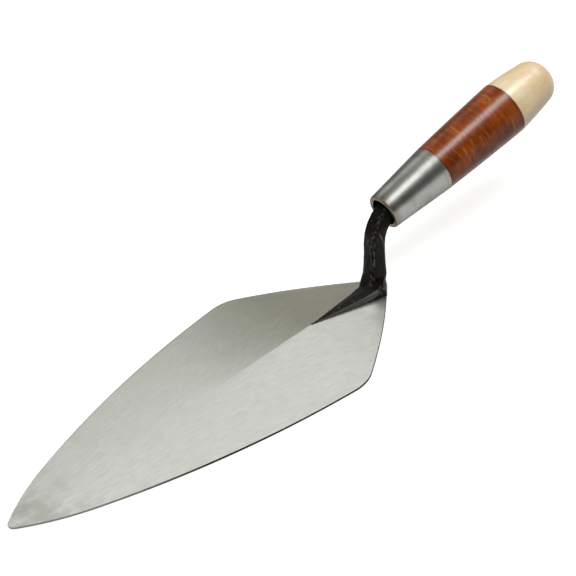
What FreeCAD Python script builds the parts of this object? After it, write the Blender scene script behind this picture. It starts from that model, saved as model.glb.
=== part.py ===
"""Brick trowel: one forged blade, shank and tang in a handle of ferrule, leather washers and wood.

Frame: millimetres, +Z up, the blade's flat underside on Z = 0. The origin is the heel end of the
blade on its centre line. The blade points along -X and the handle rises along +X.
Places along the handle are stations: distances from the front rim of the ferrule along its axis.
"""
import FreeCAD, Part
import math
import os
import Sketcher
from FreeCAD import Placement, Rotation, Vector

WASHERS = 18

SIZES = [
    # blade, a Philadelphia pattern outline
    ("blade_length", 269.2, "heel end to tip"),
    ("blade_width", 139.7, "across the corners, 5 1/2 inches"),
    ("blade_thickness", 3.0, "on the centre line at the heel"),
    ("edge_thickness", 1.1, "at the sides and at the tip"),
    ("tip_grind_start", 60.0, "distance from the heel where the top begins to fall to the tip"),
    ("heel_grind_width", 43.0, "distance in from a heel edge over which the top falls to it"),
    ("grind_margin", 10.0, "how far the grinding cuts reach past the outline and above the top"),
    ("heel_nose_radius", 5.7, "round end under the foot"),
    ("heel_nose_angle", 50.3, "heading of the heel edge where it leaves the nose, from the centre line"),
    ("heel_edge_angle", 38.5, "heading of the heel edge where it reaches the corner"),
    ("corner_radius", 21.0, "the two wide corners"),
    ("tip_radius", 5.0, "round point"),
    # foot, the raised tongue that carries the shank
    ("foot_length", 55.0, "heel end to the foot's point"),
    ("foot_corner", 11.0, "heel end to the foot's widest place, along the centre line"),
    ("foot_right", 16.0, "centre line to the right corner"),
    ("foot_left", 12.0, "centre line to the left corner, which is ground back further"),
    ("foot_wall", 1.4, "height of its upright sides"),
    ("foot_height", 5.0, "height of its flat top"),
    ("foot_bevel", 3.8, "width of the bevel along its sides"),
    ("foot_heel", 1.5, "heel end to the foot's last section"),
    ("foot_point_width", 1.2, "width of the foot's point"),
    ("foot_heel_width", 8.0, "width of the foot's last section"),
    # shank
    ("shank_foot_x", -7.2, "where the shank's centre line meets Z = 0"),
    ("shank_lean", 75.0, "angle of the lower shank from the horizontal"),
    ("shank_size", 10.6, "across the flats in the neck"),
    ("shank_root_size", 15.5, "across the flats where it leaves the foot"),
    ("shank_round", 3.4, "corner radius of its section"),
    ("bend_radius", 22.5, "centre line radius of the bend into the handle"),
    # handle axis and lengths, all from the ferrule's front rim
    ("handle_lift", 9.35, "angle of the handle above the horizontal"),
    ("rim_x", 11.1, "centre of the front rim"),
    ("rim_z", 42.3, "centre of the front rim"),
    ("ferrule_length", 42.7, "rim to leather"),
    ("leather_length", 60.1, "whole stack of washers"),
    ("butt_length", 37.0, "wood behind the leather, with its dome"),
    ("dome_length", 11.6, "rounded end of the butt"),
    # handle radii
    ("ferrule_rear_radius", 15.0, "where it meets the leather"),
    ("ferrule_wall", 1.2, "sheet thickness"),
    ("mouth_gap", 2.6, "between the shank's corners and the opening in the turned-in front"),
    ("ferrule_lip_flat", 1.3, "width of the flat ring round the opening"),
    ("ferrule_lip_round", 1.5, "outside radius of the turned-in front"),
    ("leather_rear_radius", 17.4, "where it meets the butt"),
    ("leather_crown", 0.2, "how far the stack bulges past a straight taper"),
    ("dome_radius", 14.6, "radius of the butt where its dome begins"),
    ("dome_corner", 12.0, "rounding between the butt's side and its end cap"),
    ("cap_radius", 9.0, "half the width of the shallow end cap"),
    ("cap_rise", 2.1, "height of the shallow end cap"),
    ("centre_flat", 1.2, "radius of the flat that the lathe leaves at the middle of the cap"),
    ("spindle_radius", 8.0, "turned wood under the washers"),
    ("spindle_clearance", 0.15, "gap between spindle and washer bore"),
    ("core_recess", 10.0, "front rim to the front of the wooden core"),
    # tang
    ("tang_length", 105.0, "front rim to the tang's end"),
    ("tang_front_size", 8.6, "across the flats at the front of the core"),
    ("tang_end_size", 4.6, "across the flats at its end"),
    ("tang_round", 1.0, "corner radius of its section"),
    ("tang_clearance", 0.3, "gap between the tang's corners and its hole"),
    ("tang_end_gap", 1.5, "depth of the hole past the tang's end"),
]

doc = FreeCAD.newDocument("brick_trowel")
sheet = doc.addObject("Spreadsheet::Sheet", "Sizes")
for row, (alias, value, note) in enumerate(SIZES, start=1):
    sheet.set(f"A{row}", alias)
    sheet.set(f"B{row}", str(value))
    sheet.set(f"C{row}", note)
    sheet.setAlias(f"B{row}", alias)
doc.recompute()


def size(alias):
    """The number in the sheet's cell of that name."""
    return float(sheet.get(alias))


# ---------------------------------------------------------------- helpers for bodies and sketches

def new_body(label, on_handle=False):
    """A body with its own label; a handle body's +X runs along the handle from the rim's centre."""
    body = doc.addObject("PartDesign::Body", label)
    body.Label = label
    body.Placement = Placement()
    if on_handle:
        body.Placement = Placement(Vector(0, 0, 0), Rotation(Vector(0, -1, 0), size("handle_lift")))
        body.setExpression("Placement.Base.x", "Sizes.rim_x")
        body.setExpression("Placement.Base.z", "Sizes.rim_z")
        body.setExpression("Placement.Rotation.Angle", "Sizes.handle_lift * 1 deg")
    return body


def new_sketch(body, name, plane, offset=None):
    """A sketch on one of the body's own origin planes, moved within that plane's frame by offset."""
    sketch = body.newObject("Sketcher::SketchObject", name)
    support = [item for item in body.Origin.OriginFeatures if item.Role == plane][0]
    sketch.AttachmentSupport = [(support, "")]
    sketch.MapMode = "FlatFace"
    if offset is not None:
        sketch.AttachmentOffset = offset
    return sketch


def pin_point(sketch, edge, end, across, up):
    """Tie an edge's end to the sketch's origin by two expressions."""
    for kind, words in (("DistanceX", across), ("DistanceY", up)):
        value = float(sketch.evalExpression(words))
        number = sketch.addConstraint(Sketcher.Constraint(kind, -1, 1, edge, end, value))
        sketch.setExpression(f"Constraints[{number}]", words)


def arc_between(start, end, radius, side):
    """The shorter arc from start to end, drawn anticlockwise as sketches keep their arcs.

    Side 1 has its centre on the left of the way from start to end, and side -1 on the right."""
    chord = end - start
    middle = (start + end) * 0.5
    left = Vector(-chord.y, chord.x, 0).normalize()
    centre = middle + left * (side * math.sqrt(radius ** 2 - chord.Length ** 2 / 4))
    crown = centre - left * (side * radius)
    return Part.Arc(start, crown, end) if side > 0 else Part.Arc(end, crown, start)


def bound_profile(sketch, corners):
    """A closed outline. Each corner is (across, up) or (across, up, radius, side) in expressions;
    the last two make the edge that leaves that corner an arc."""
    points = [Vector(float(sketch.evalExpression(corner[0])), float(sketch.evalExpression(corner[1])), 0)
              for corner in corners]
    edges = []
    for index, corner in enumerate(corners):
        start, end = points[index], points[(index + 1) % len(points)]
        if len(corner) == 2:
            edge = sketch.addGeometry(Part.LineSegment(start, end))
        else:
            radius = float(sketch.evalExpression(corner[2]))
            edge = sketch.addGeometry(arc_between(start, end, radius, corner[3]))
        edges.append(edge)
    for index, edge in enumerate(edges):
        corner = corners[index]
        following = corners[(index + 1) % len(corners)]
        is_arc = len(corner) > 2
        backwards = is_arc and corner[3] < 0
        pin_point(sketch, edge, 2 if backwards else 1, corner[0], corner[1])
        pin_point(sketch, edge, 1 if backwards else 2, following[0], following[1])
        if is_arc:
            radius = float(sketch.evalExpression(corner[2]))
            number = sketch.addConstraint(Sketcher.Constraint("Radius", edge, radius))
            sketch.setExpression(f"Constraints[{number}]", corner[2])


def blocked_outline(sketch, edges):
    """Edges whose places part.py works out from the sheet, held where they are."""
    for geometry in edges:
        number = sketch.addGeometry(geometry)
        sketch.addConstraint(Sketcher.Constraint("Block", number))


def revolve(body, name, sketch):
    """A full turn of the sketch about its horizontal axis, which is the handle's axis."""
    feature = body.newObject("PartDesign::Revolution", name)
    feature.Profile = sketch
    feature.ReferenceAxis = (sketch, ["H_Axis"])
    feature.Angle = 360
    doc.recompute()
    return feature


def volume(body):
    doc.recompute()
    return body.Shape.Volume


def require_cut(body, before):
    """A cut that points away from the solid removes nothing and shows no error."""
    if volume(body) >= before - 1.0:
        raise RuntimeError(f"{body.Label}: a cut removed nothing")


# ---------------------------------------------------------------- blade outline

def turn(point, radius, heading, end_heading):
    """Follow an arc from heading to end_heading (radians from -X towards +Y, falling)."""
    return Vector(point.x + radius * (math.sin(end_heading) - math.sin(heading)),
                  point.y + radius * (math.cos(end_heading) - math.cos(heading)), 0)


def blade_half():
    """The +Y half outline from heel to tip: (radius, heading, end heading, start, end) for each arc.

    Six arcs run into each other without a corner. The heel edge's radius follows from the blade's
    width, and the radii of the two long side arcs follow from its length and width together.
    """
    nose, corner, tip = size("heel_nose_radius"), size("corner_radius"), size("tip_radius")
    leave = math.radians(size("heel_nose_angle"))
    reach = math.radians(size("heel_edge_angle"))
    half = size("blade_width") / 2
    spread = half - nose * math.cos(leave) - corner * (1 - math.cos(reach))
    heel = spread / (math.cos(reach) - math.cos(leave))
    widest = (nose * (math.sin(leave) - 1) + heel * (math.sin(reach) - math.sin(leave))
              - corner * math.sin(reach))
    # the side arcs' headings are shares of the straight line's from the widest place to the tip
    straight = math.atan2(half, size("blade_length") + widest)
    enter, middle, final = -0.32 * straight, -1.23 * straight, -2.04 * straight
    right = -math.pi / 2
    along = (-size("blade_length") - widest - corner * math.sin(enter)
             - tip * (math.sin(right) - math.sin(final)))
    across = -half - corner * (math.cos(enter) - 1) - tip * (math.cos(right) - math.cos(final))
    a, b = math.sin(middle) - math.sin(enter), math.sin(final) - math.sin(middle)
    c, d = math.cos(middle) - math.cos(enter), math.cos(final) - math.cos(middle)
    side = (along * d - b * across) / (a * d - b * c)
    fore = (a * across - along * c) / (a * d - b * c)
    steps = [(nose, math.pi / 2, leave), (heel, leave, reach), (corner, reach, enter),
             (side, enter, middle), (fore, middle, final), (tip, final, right)]
    point = Vector(0, 0, 0)
    arcs = []
    for radius, heading, end_heading in steps:
        end = turn(point, radius, heading, end_heading)
        arcs.append((radius, heading, end_heading, point, end))
        point = end
    return arcs


def blade_edges():
    """The whole outline as sketch arcs, the +Y half and its mirror image."""
    edges = []
    for radius, heading, end_heading, start, end in blade_half():
        crown = turn(start, radius, heading, (heading + end_heading) / 2)
        edges.append(Part.Arc(start, crown, end))
        flip = [Vector(p.x, -p.y, 0) for p in (start, crown, end)]
        edges.append(Part.Arc(*flip))
    return edges


def heel_plane(side):
    """The heel edge's frame for a sketch on XZ: its origin on the edge, +X out of the blade."""
    start, end = blade_half()[1][3], blade_half()[1][4]
    outward = math.degrees(math.atan2(start.x - end.x, end.y - start.y))
    # the XZ plane's frame has +X across, +Z up and -Y as its normal, so it turns about its +Y
    return Placement(Vector(start.x, 0, -side * start.y), Rotation(Vector(0, 1, 0), side * outward))


# ---------------------------------------------------------------- shank centre line

def on_handle(station):
    """A point of the handle's axis."""
    lift = math.radians(size("handle_lift"))
    return Vector(size("rim_x") + station * math.cos(lift), 0, size("rim_z") + station * math.sin(lift))


def shank_bend():
    """The bend's start and end, where the lower shank and the handle's axis are tangent to it."""
    lean, lift = math.radians(size("shank_lean")), math.radians(size("handle_lift"))
    up = Vector(math.cos(lean), 0, math.sin(lean))
    slope = math.tan(lift)
    rise = (size("rim_z") - slope * (size("rim_x") - size("shank_foot_x"))) / (up.z - slope * up.x)
    knee = Vector(size("shank_foot_x"), 0, 0) + up * rise
    reach = size("bend_radius") * math.tan((lean - lift) / 2)
    along = Vector(math.cos(lift), 0, math.sin(lift))
    return knee - up * reach, knee + along * reach


def bend_point(share):
    """A point of the bend and its heading in degrees, share 0 at its start and 1 at its end."""
    start = shank_bend()[0]
    heading = size("shank_lean") + share * (size("handle_lift") - size("shank_lean"))
    first, now = math.radians(size("shank_lean")), math.radians(heading)
    radius = size("bend_radius")
    along, rise = math.sin(first) - math.sin(now), math.cos(now) - math.cos(first)
    return start + Vector(radius * along, 0, radius * rise), heading


def square_across(body, name, point, heading, across, rounding):
    """A rounded square section at point, square to a centre line that rises at heading degrees."""
    # the YZ plane's frame has +Y across, +Z up and +X as its normal
    offset = Placement(Vector(0, point.z, point.x), Rotation(Vector(1, 0, 0), -heading))
    sketch = new_sketch(body, name, "YZ_Plane", offset)
    flat = across / 2 - rounding
    slant = rounding * math.sqrt(0.5)
    half = across / 2
    edges = []
    for quarter in range(4):
        spin = Rotation(Vector(0, 0, 1), 90 * quarter)
        corner = [Vector(half, flat, 0), Vector(flat + slant, flat + slant, 0), Vector(flat, half, 0)]
        start, crown, end = [spin.multVec(place) for place in corner]
        edges.append(Part.LineSegment(spin.multVec(Vector(half, -flat, 0)), start))
        edges.append(Part.Arc(start, crown, end))
    blocked_outline(sketch, edges)
    return sketch


def loft(body, name, sections, ruled):
    """An additive loft through the sections."""
    doc.recompute()
    feature = body.newObject("PartDesign::AdditiveLoft", name)
    feature.Profile = sections[0]
    feature.Sections = sections[1:]
    feature.Ruled = ruled
    doc.recompute()
    return feature


# ---------------------------------------------------------------- the forging

ABOVE_BLADE = "Sizes.blade_thickness + Sizes.grind_margin"


def build_forging():
    """Blade, foot, shank and tang are forged from one bar, so they are one solid."""
    body = new_body("blade_and_tang")

    outline = new_sketch(body, "blade_outline", "XY_Plane")
    blocked_outline(outline, blade_edges())
    blank = body.newObject("PartDesign::Pad", "blade_blank")
    blank.Profile = outline
    blank.setExpression("Length", "Sizes.blade_thickness")
    before = volume(body)

    # both halves of the top fall from the centre ridge to the side edges
    for name, sign in (("left_grind", ""), ("right_grind", "-")):
        section = new_sketch(body, name + "_section", "YZ_Plane")
        bound_profile(section, [
            ("0", "Sizes.blade_thickness"),
            (f"{sign}Sizes.blade_width / 2", "Sizes.edge_thickness"),
            (f"{sign}(Sizes.blade_width / 2 + Sizes.grind_margin)", "Sizes.edge_thickness"),
            (f"{sign}(Sizes.blade_width / 2 + Sizes.grind_margin)", ABOVE_BLADE),
            ("0", ABOVE_BLADE),
        ])
        grind = body.newObject("PartDesign::Pocket", name)
        grind.Profile = section
        grind.Type = "ThroughAll"
        require_cut(body, before)
        before = volume(body)

    # and the whole top falls from behind the foot's point to the tip
    section = new_sketch(body, "tip_grind_section", "XZ_Plane")
    bound_profile(section, [
        ("-Sizes.tip_grind_start", "Sizes.blade_thickness"),
        ("-Sizes.blade_length", "Sizes.edge_thickness"),
        ("-Sizes.blade_length - Sizes.grind_margin", "Sizes.edge_thickness"),
        ("-Sizes.blade_length - Sizes.grind_margin", ABOVE_BLADE),
        ("-Sizes.tip_grind_start", ABOVE_BLADE),
    ])
    grind = body.newObject("PartDesign::Pocket", "tip_grind")
    grind.Profile = section
    grind.Type = "ThroughAll"
    grind.Midplane = True
    require_cut(body, before)

    # and the top falls to both heel edges, square to them
    for name, side in (("left_heel_grind", 1), ("right_heel_grind", -1)):
        before = volume(body)
        section = new_sketch(body, name + "_section", "XZ_Plane", heel_plane(side))
        bound_profile(section, [
            ("0", "Sizes.edge_thickness"),
            ("-Sizes.heel_grind_width", "Sizes.blade_thickness"),
            ("-Sizes.heel_grind_width", ABOVE_BLADE),
            ("Sizes.grind_margin", ABOVE_BLADE),
            ("Sizes.grind_margin", "Sizes.edge_thickness"),
        ])
        grind = body.newObject("PartDesign::Pocket", name)
        grind.Profile = section
        grind.Type = "ThroughAll"
        grind.Midplane = True
        require_cut(body, before)

    # the foot: a long triangular tongue with a flat top and bevelled sides
    stations = [
        ("foot_point", "-Sizes.foot_length", "Sizes.foot_point_width / 2", "Sizes.foot_point_width / 2",
         "Sizes.edge_thickness", "Sizes.blade_thickness", "Sizes.foot_point_width / 6"),
        ("foot_corner", "-Sizes.foot_corner", "Sizes.foot_right", "Sizes.foot_left", "Sizes.foot_wall",
         "Sizes.foot_height", "Sizes.foot_bevel"),
        ("foot_heel", "-Sizes.foot_heel", "Sizes.foot_heel_width / 2", "Sizes.foot_heel_width / 2",
         "Sizes.foot_wall", "Sizes.foot_height", "Sizes.foot_heel_width / 6"),
    ]
    sections = []
    for name, along, right, left, wall, height, bevel in stations:
        section = new_sketch(body, name + "_section", "YZ_Plane", Placement())
        section.setExpression("AttachmentOffset.Base.z", along)
        bound_profile(section, [
            (f"-({right})", "0"), (left, "0"), (left, wall),
            (f"{left} - {bevel}", height), (f"-({right}) + {bevel}", height), (f"-({right})", wall),
        ])
        sections.append(section)
    loft(body, "foot", sections, True)

    # the shank swells into the foot below and runs through the bend to the tang
    root, neck, rounding = size("shank_root_size"), size("shank_size"), size("shank_round")
    lean = size("shank_lean")
    start, end = shank_bend()
    base = Vector(size("shank_foot_x"), 0, 0)
    floor_section = base + Vector(0, 0, size("edge_thickness") / 2)
    # each place is a point, the centre line's heading there and the size across the flats
    places = [(floor_section, 90, root)]
    places += [(base + (start - base) * share, lean, across)
               for share, across in ((0.28, (root + 2 * neck) / 3), (0.55, neck), (1.0, neck))]
    places += [(*bend_point(share), neck) for share in (0.33, 0.67)]
    places.append((end, size("handle_lift"), size("tang_front_size")))
    sections = [square_across(body, f"shank_section_{number}", *place, rounding * place[2] / neck)
                for number, place in enumerate(places, start=1)]
    loft(body, "shank", sections, False)

    lift = size("handle_lift")
    front = square_across(body, "tang_front_section", end, lift, size("tang_front_size"), size("tang_round"))
    back = square_across(body, "tang_end_section", on_handle(size("tang_length")), lift,
                         size("tang_end_size"), size("tang_round"))
    loft(body, "tang", [front, back], True)
    return body


# ---------------------------------------------------------------- the handle

def half_diagonal(across, rounding):
    """Centre to corner of a rounded square section, as an expression."""
    return f"({across} * sqrt(0.5) - {rounding} * (sqrt(2) - 1))"


# the ferrule's opening clears the shank's corners, and its lip stands round the opening
MOUTH_RADIUS = half_diagonal("Sizes.shank_size", "Sizes.shank_round") + " + Sizes.mouth_gap"
LIP_RADIUS = MOUTH_RADIUS + " + Sizes.ferrule_lip_flat"
FERRULE_FRONT = LIP_RADIUS + " + Sizes.ferrule_lip_round"


def build_ferrule():
    """A tapered steel cap with a turned-in front that the shank passes through."""
    body = new_body("ferrule", on_handle=True)
    profile = new_sketch(body, "ferrule_profile", "XZ_Plane")
    bound_profile(profile, [
        ("0", MOUTH_RADIUS),
        ("0", LIP_RADIUS, "Sizes.ferrule_lip_round", -1),
        ("Sizes.ferrule_lip_round", FERRULE_FRONT),
        ("Sizes.ferrule_length", "Sizes.ferrule_rear_radius"),
        ("Sizes.ferrule_length", "Sizes.ferrule_rear_radius - Sizes.ferrule_wall"),
        ("Sizes.ferrule_wall", f"{FERRULE_FRONT} - Sizes.ferrule_wall"),
        ("Sizes.ferrule_wall", MOUTH_RADIUS),
    ])
    revolve(body, "ferrule_turn", profile)
    return body


def ferrule_bore_at(station):
    """The ferrule's inside radius at a station, as an expression."""
    share = f"(({station}) - Sizes.ferrule_wall) / (Sizes.ferrule_length - Sizes.ferrule_wall)"
    return (f"{FERRULE_FRONT} - Sizes.ferrule_wall"
            f" + (Sizes.ferrule_rear_radius - ({FERRULE_FRONT})) * {share}")


def tang_hole_at(station):
    """The radius of the tang's hole at a station: half the tang's diagonal and a clearance."""
    front = half_diagonal("Sizes.tang_front_size", "Sizes.tang_round")
    back = half_diagonal("Sizes.tang_end_size", "Sizes.tang_round")
    share = f"(({station}) / Sizes.tang_length)"
    return f"{front} + ({back} - {front}) * {share} + Sizes.tang_clearance"


def build_core():
    """One turned hardwood piece: the cone under the ferrule, the washers' spindle and the butt."""
    body = new_body("butt_and_core", on_handle=True)
    leather_end = "Sizes.ferrule_length + Sizes.leather_length"
    end = leather_end + " + Sizes.butt_length"
    dome = end + " - Sizes.dome_length"
    # the cap is part of a sphere whose centre is near the axis
    cap_sphere = "(Sizes.cap_radius ^ 2 + Sizes.cap_rise ^ 2) / (2 * Sizes.cap_rise)"
    hole_end = "Sizes.tang_length + Sizes.tang_end_gap"
    profile = new_sketch(body, "core_profile", "XZ_Plane")
    bound_profile(profile, [
        ("Sizes.core_recess", tang_hole_at("Sizes.core_recess")),
        ("Sizes.core_recess", ferrule_bore_at("Sizes.core_recess")),
        ("Sizes.ferrule_length", ferrule_bore_at("Sizes.ferrule_length")),
        ("Sizes.ferrule_length", "Sizes.spindle_radius"),
        (leather_end, "Sizes.spindle_radius"),
        (leather_end, "Sizes.leather_rear_radius"),
        (dome, "Sizes.dome_radius", "Sizes.dome_corner", -1),
        (end + " - Sizes.cap_rise", "Sizes.cap_radius", cap_sphere, -1),
        (end, "Sizes.centre_flat"),
        (end, "0"),
        (hole_end, "0"),
        (hole_end, tang_hole_at(hole_end)),
    ])
    revolve(body, "core_turn", profile)
    return body


def leather_radius(step):
    """The leather's outside radius at a joint between washers, as an expression."""
    share = f"({step} / {WASHERS})"
    return ("Sizes.ferrule_rear_radius + (Sizes.leather_rear_radius - Sizes.ferrule_rear_radius)"
            f" * {share} + 4 * Sizes.leather_crown * {share} * (1 - {share})")


def build_washer(number):
    """One leather washer of the stack, turned to the handle's taper with its neighbours."""
    body = new_body(f"leather_washer_{number:02d}", on_handle=True)
    front = f"Sizes.ferrule_length + Sizes.leather_length * {number - 1} / {WASHERS}"
    back = f"Sizes.ferrule_length + Sizes.leather_length * {number} / {WASHERS}"
    bore = "Sizes.spindle_radius + Sizes.spindle_clearance"
    profile = new_sketch(body, f"washer_{number:02d}_profile", "XZ_Plane")
    bound_profile(profile, [
        (front, bore),
        (front, leather_radius(number - 1)),
        (back, leather_radius(number)),
        (back, bore),
    ])
    revolve(body, f"washer_{number:02d}_turn", profile)
    return body


pieces = [build_forging(), build_ferrule(), build_core()]
pieces += [build_washer(number) for number in range(1, WASHERS + 1)]
doc.recompute()

for item in doc.Objects:
    if "Invalid" in item.State or "Error" in item.State:
        raise RuntimeError(f"{item.Label} failed: {item.State}")

os.makedirs("parts", exist_ok=True)
for piece in pieces:
    shape = piece.Shape
    if shape.isNull() or not shape.isValid() or len(shape.Solids) != 1:
        raise RuntimeError(f"{piece.Label} is not one valid solid")
    shape.exportStep(f"parts/{piece.Label}.step")
    box = shape.BoundBox
    print(f"{piece.Label:18s} {shape.Volume:10.1f} mm3  X {box.XMin:7.1f} {box.XMax:6.1f}"
          f"  Y {box.YMin:6.1f} {box.YMax:5.1f}  Z {box.ZMin:5.1f} {box.ZMax:5.1f}")
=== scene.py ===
# %% [markdown]
# # A brick trowel, from its frame to a finished picture
# This lesson builds the looks of a bricklayer's trowel round a model that already has the right
# sizes. The frame gives the places of the parts in metres, with +Z up and the blade flat on the
# floor. Every piece is made where it belongs, so nothing is moved afterwards.

# %% Load the frame
import math

import bmesh
import bpy
from mathutils import Matrix, Vector


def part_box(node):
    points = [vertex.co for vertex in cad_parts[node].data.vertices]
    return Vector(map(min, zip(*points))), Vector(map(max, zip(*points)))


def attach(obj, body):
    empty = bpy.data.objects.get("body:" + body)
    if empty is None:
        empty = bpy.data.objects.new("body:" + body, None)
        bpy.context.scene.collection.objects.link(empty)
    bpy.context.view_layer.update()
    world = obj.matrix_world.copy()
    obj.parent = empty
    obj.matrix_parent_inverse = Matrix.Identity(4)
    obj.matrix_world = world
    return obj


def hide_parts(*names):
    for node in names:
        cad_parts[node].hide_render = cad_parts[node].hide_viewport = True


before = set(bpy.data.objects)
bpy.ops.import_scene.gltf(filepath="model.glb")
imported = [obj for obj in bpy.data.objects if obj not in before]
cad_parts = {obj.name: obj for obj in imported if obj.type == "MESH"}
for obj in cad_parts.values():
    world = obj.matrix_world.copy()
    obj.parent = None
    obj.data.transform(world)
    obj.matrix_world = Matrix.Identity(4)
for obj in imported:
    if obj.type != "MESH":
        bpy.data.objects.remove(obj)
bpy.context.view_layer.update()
print("nodes in the frame:", len(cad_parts))

# %% [markdown]
# ## Sizes that the pieces share
# The tool has two straight lines to build on. The blade's centre line runs along X on the floor,
# and the handle's axis leaves the ferrule's front rim and rises a little. A place along the
# handle is a station: its distance from that rim. The sizes are the same ones that the frame was
# made from.

# %% Sizes along the handle
MM = 0.001
LIFT = math.radians(9.35)
RIM = Vector((11.1, 0.0, 42.3)) * MM
ALONG = Vector((math.cos(LIFT), 0.0, math.sin(LIFT)))
FERRULE_END = 42.7 * MM
LEATHER_END = FERRULE_END + 60.1 * MM
BUTT_END = LEATHER_END + 37.0 * MM
WASHERS = sum(name.startswith("leather_washer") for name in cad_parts)
WASHER = (LEATHER_END - FERRULE_END) / WASHERS


def on_handle(station):
    """A point of the handle's axis."""
    return RIM + ALONG * station


# %% [markdown]
# ## Camera
# The trowel is seen from its right and from the blade's end, from about thirty degrees up, with
# the head tipped so that the blade runs down to the left. A camera is easiest to read as an orbit:
# a point to look at, a direction, a distance and a roll. The long lens keeps the taper of the
# blade close to its true shape.

# %% Camera
LOOK_AT = Vector((-63.7, 0.0, 33.7)) * MM
AZIMUTH, ELEVATION, ROLL = math.radians(-28.97), math.radians(32.01), math.radians(-16.4)
DISTANCE = 1.1184
SENSOR, LENS = 36.0, 122.6
NEAREST, FURTHEST = 0.05, 20.0

camera_data = bpy.data.cameras.new("camera")
camera_data.sensor_width = SENSOR
camera_data.lens = LENS
camera_data.clip_start, camera_data.clip_end = NEAREST, FURTHEST
camera = bpy.data.objects.new("camera", camera_data)
back = Vector((math.sin(AZIMUTH) * math.cos(ELEVATION), -math.cos(AZIMUTH) * math.cos(ELEVATION),
               math.sin(ELEVATION)))
aim = (-back).to_track_quat("-Z", "Y").to_matrix().to_4x4()
camera.matrix_world = Matrix.Translation(LOOK_AT + back * DISTANCE) @ aim @ Matrix.Rotation(ROLL, 4, "Z")
bpy.context.scene.collection.objects.link(camera)
bpy.context.scene.camera = camera
print("camera at", [round(c, 3) for c in camera.matrix_world.translation])

# %% [markdown]
# ## Writing node trees in code
# A material is a small graph of nodes. Adding a node, setting a few of its sockets and linking the
# rest is the same work each time, so one helper does it: a socket's value is either a number or
# colour, or another node's output, which is then linked. Short helpers on top of it cover the
# nodes that are used most: Math, Vector Math, Separate XYZ, Mix, Map Range and Bump.

# %% Helpers for node trees
def add(tree, kind, sockets=None, **settings):
    """A new node. Sockets maps an input's name or number to a value or to an output to link."""
    made = tree.nodes.new(kind)
    for name, value in settings.items():
        setattr(made, name, value)
    for key, value in (sockets or {}).items():
        if isinstance(value, bpy.types.NodeSocket):
            tree.links.new(value, made.inputs[key])
        else:
            made.inputs[key].default_value = value
    return made


def maths(tree, operation, first, second=0.0):
    return add(tree, "ShaderNodeMath", {0: first, 1: second}, operation=operation).outputs[0]


def times(tree, first, second):
    return maths(tree, "MULTIPLY", first, second)


def vector_maths(tree, operation, first, second=(0.0, 0.0, 0.0)):
    """The outputs of a Vector Math node: Vector, or Value for a length or a distance."""
    return add(tree, "ShaderNodeVectorMath", {0: first, 1: second}, operation=operation).outputs


def split(tree, vector):
    """The outputs X, Y and Z of a vector."""
    return add(tree, "ShaderNodeSeparateXYZ", {0: vector}).outputs


def blend_colours(tree, share, first, second, way="MIX"):
    made = add(tree, "ShaderNodeMix", {0: share, 6: first, 7: second}, data_type="RGBA", blend_type=way)
    return made.outputs[2]


def tint(tree, base, mask, most, colour):
    """Lay a colour over the base where the mask is high, up to the share given as most."""
    return blend_colours(tree, times(tree, mask, most), base, colour)


def ease(tree, value, low, high, to_low=0.0, to_high=1.0):
    """Bring a value from one range to another along a smooth step, and hold it at both ends."""
    made = add(tree, "ShaderNodeMapRange", {"Value": value, "From Min": low, "From Max": high,
                                            "To Min": to_low, "To Max": to_high},
               interpolation_type="SMOOTHSTEP")
    return made.outputs["Result"]


def bump(tree, height, depth, below=None):
    """A Bump node: depth is the real height in metres that the value 1 stands for."""
    sockets = {"Height": height, "Distance": depth, "Strength": 1.0}
    if below is not None:
        sockets["Normal"] = below
    return add(tree, "ShaderNodeBump", sockets).outputs["Normal"]


print("node helpers ready")

# %% [markdown]
# ## An empty material
# Every finish starts with the same nodes: a Principled BSDF, the output and the texture
# coordinates. They are Object coordinates throughout. Each piece keeps its place in its mesh, so
# these are the frame's own metres, and a pattern runs on from one piece to the next.

# %% Start a material
def new_material(name):
    """An empty node material with its output, its Principled BSDF and the Object coordinates."""
    material = bpy.data.materials.new(name)
    material.use_nodes = True
    tree = material.node_tree
    tree.nodes.clear()
    shader = tree.nodes.new("ShaderNodeBsdfPrincipled")
    output = tree.nodes.new("ShaderNodeOutputMaterial")
    tree.links.new(shader.outputs["BSDF"], output.inputs["Surface"])
    place = tree.nodes.new("ShaderNodeTexCoord").outputs["Object"]
    return material, tree, shader, place


print("every material starts with a Principled BSDF and Object coordinates")

# %% [markdown]
# ## Two patterns that every finish uses
# Grinding marks, turned lines, leather fibres and wood grain are all the same thing seen from far
# enough: a random pattern that is long one way and fine across. One group makes it, from a Noise
# Texture whose space is squeezed by a scale for each axis, so that each material only says how
# long and how fine. The second group is its slow partner: soft clouds that keep a surface from
# looking the same all over. Both put out one value between 0 and 1.

# %% Streaks and clouds
def new_group(name, inputs, outputs):
    """An empty shader group. Inputs are (name, socket type, default), outputs (name, socket type)."""
    group = bpy.data.node_groups.new(name, "ShaderNodeTree")
    for title, kind, default in inputs:
        socket = group.interface.new_socket(title, in_out="INPUT", socket_type=kind)
        if default is not None:
            socket.default_value = default
    for title, kind in outputs:
        group.interface.new_socket(title, in_out="OUTPUT", socket_type=kind)
    given = group.nodes.new("NodeGroupInput").outputs
    return group, given, group.nodes.new("NodeGroupOutput")


def put_out_noise(group, given, result, place, scale, detail, roughness):
    """Noise at a place, stretched so that Low becomes 0 and High becomes 1."""
    noise = add(group, "ShaderNodeTexNoise", {"Vector": place, "Scale": scale, "Detail": detail,
                                              "Roughness": roughness})
    value = ease(group, noise.outputs["Fac"], given["Low"], given["High"])
    group.links.new(value, result.inputs["Value"])


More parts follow.
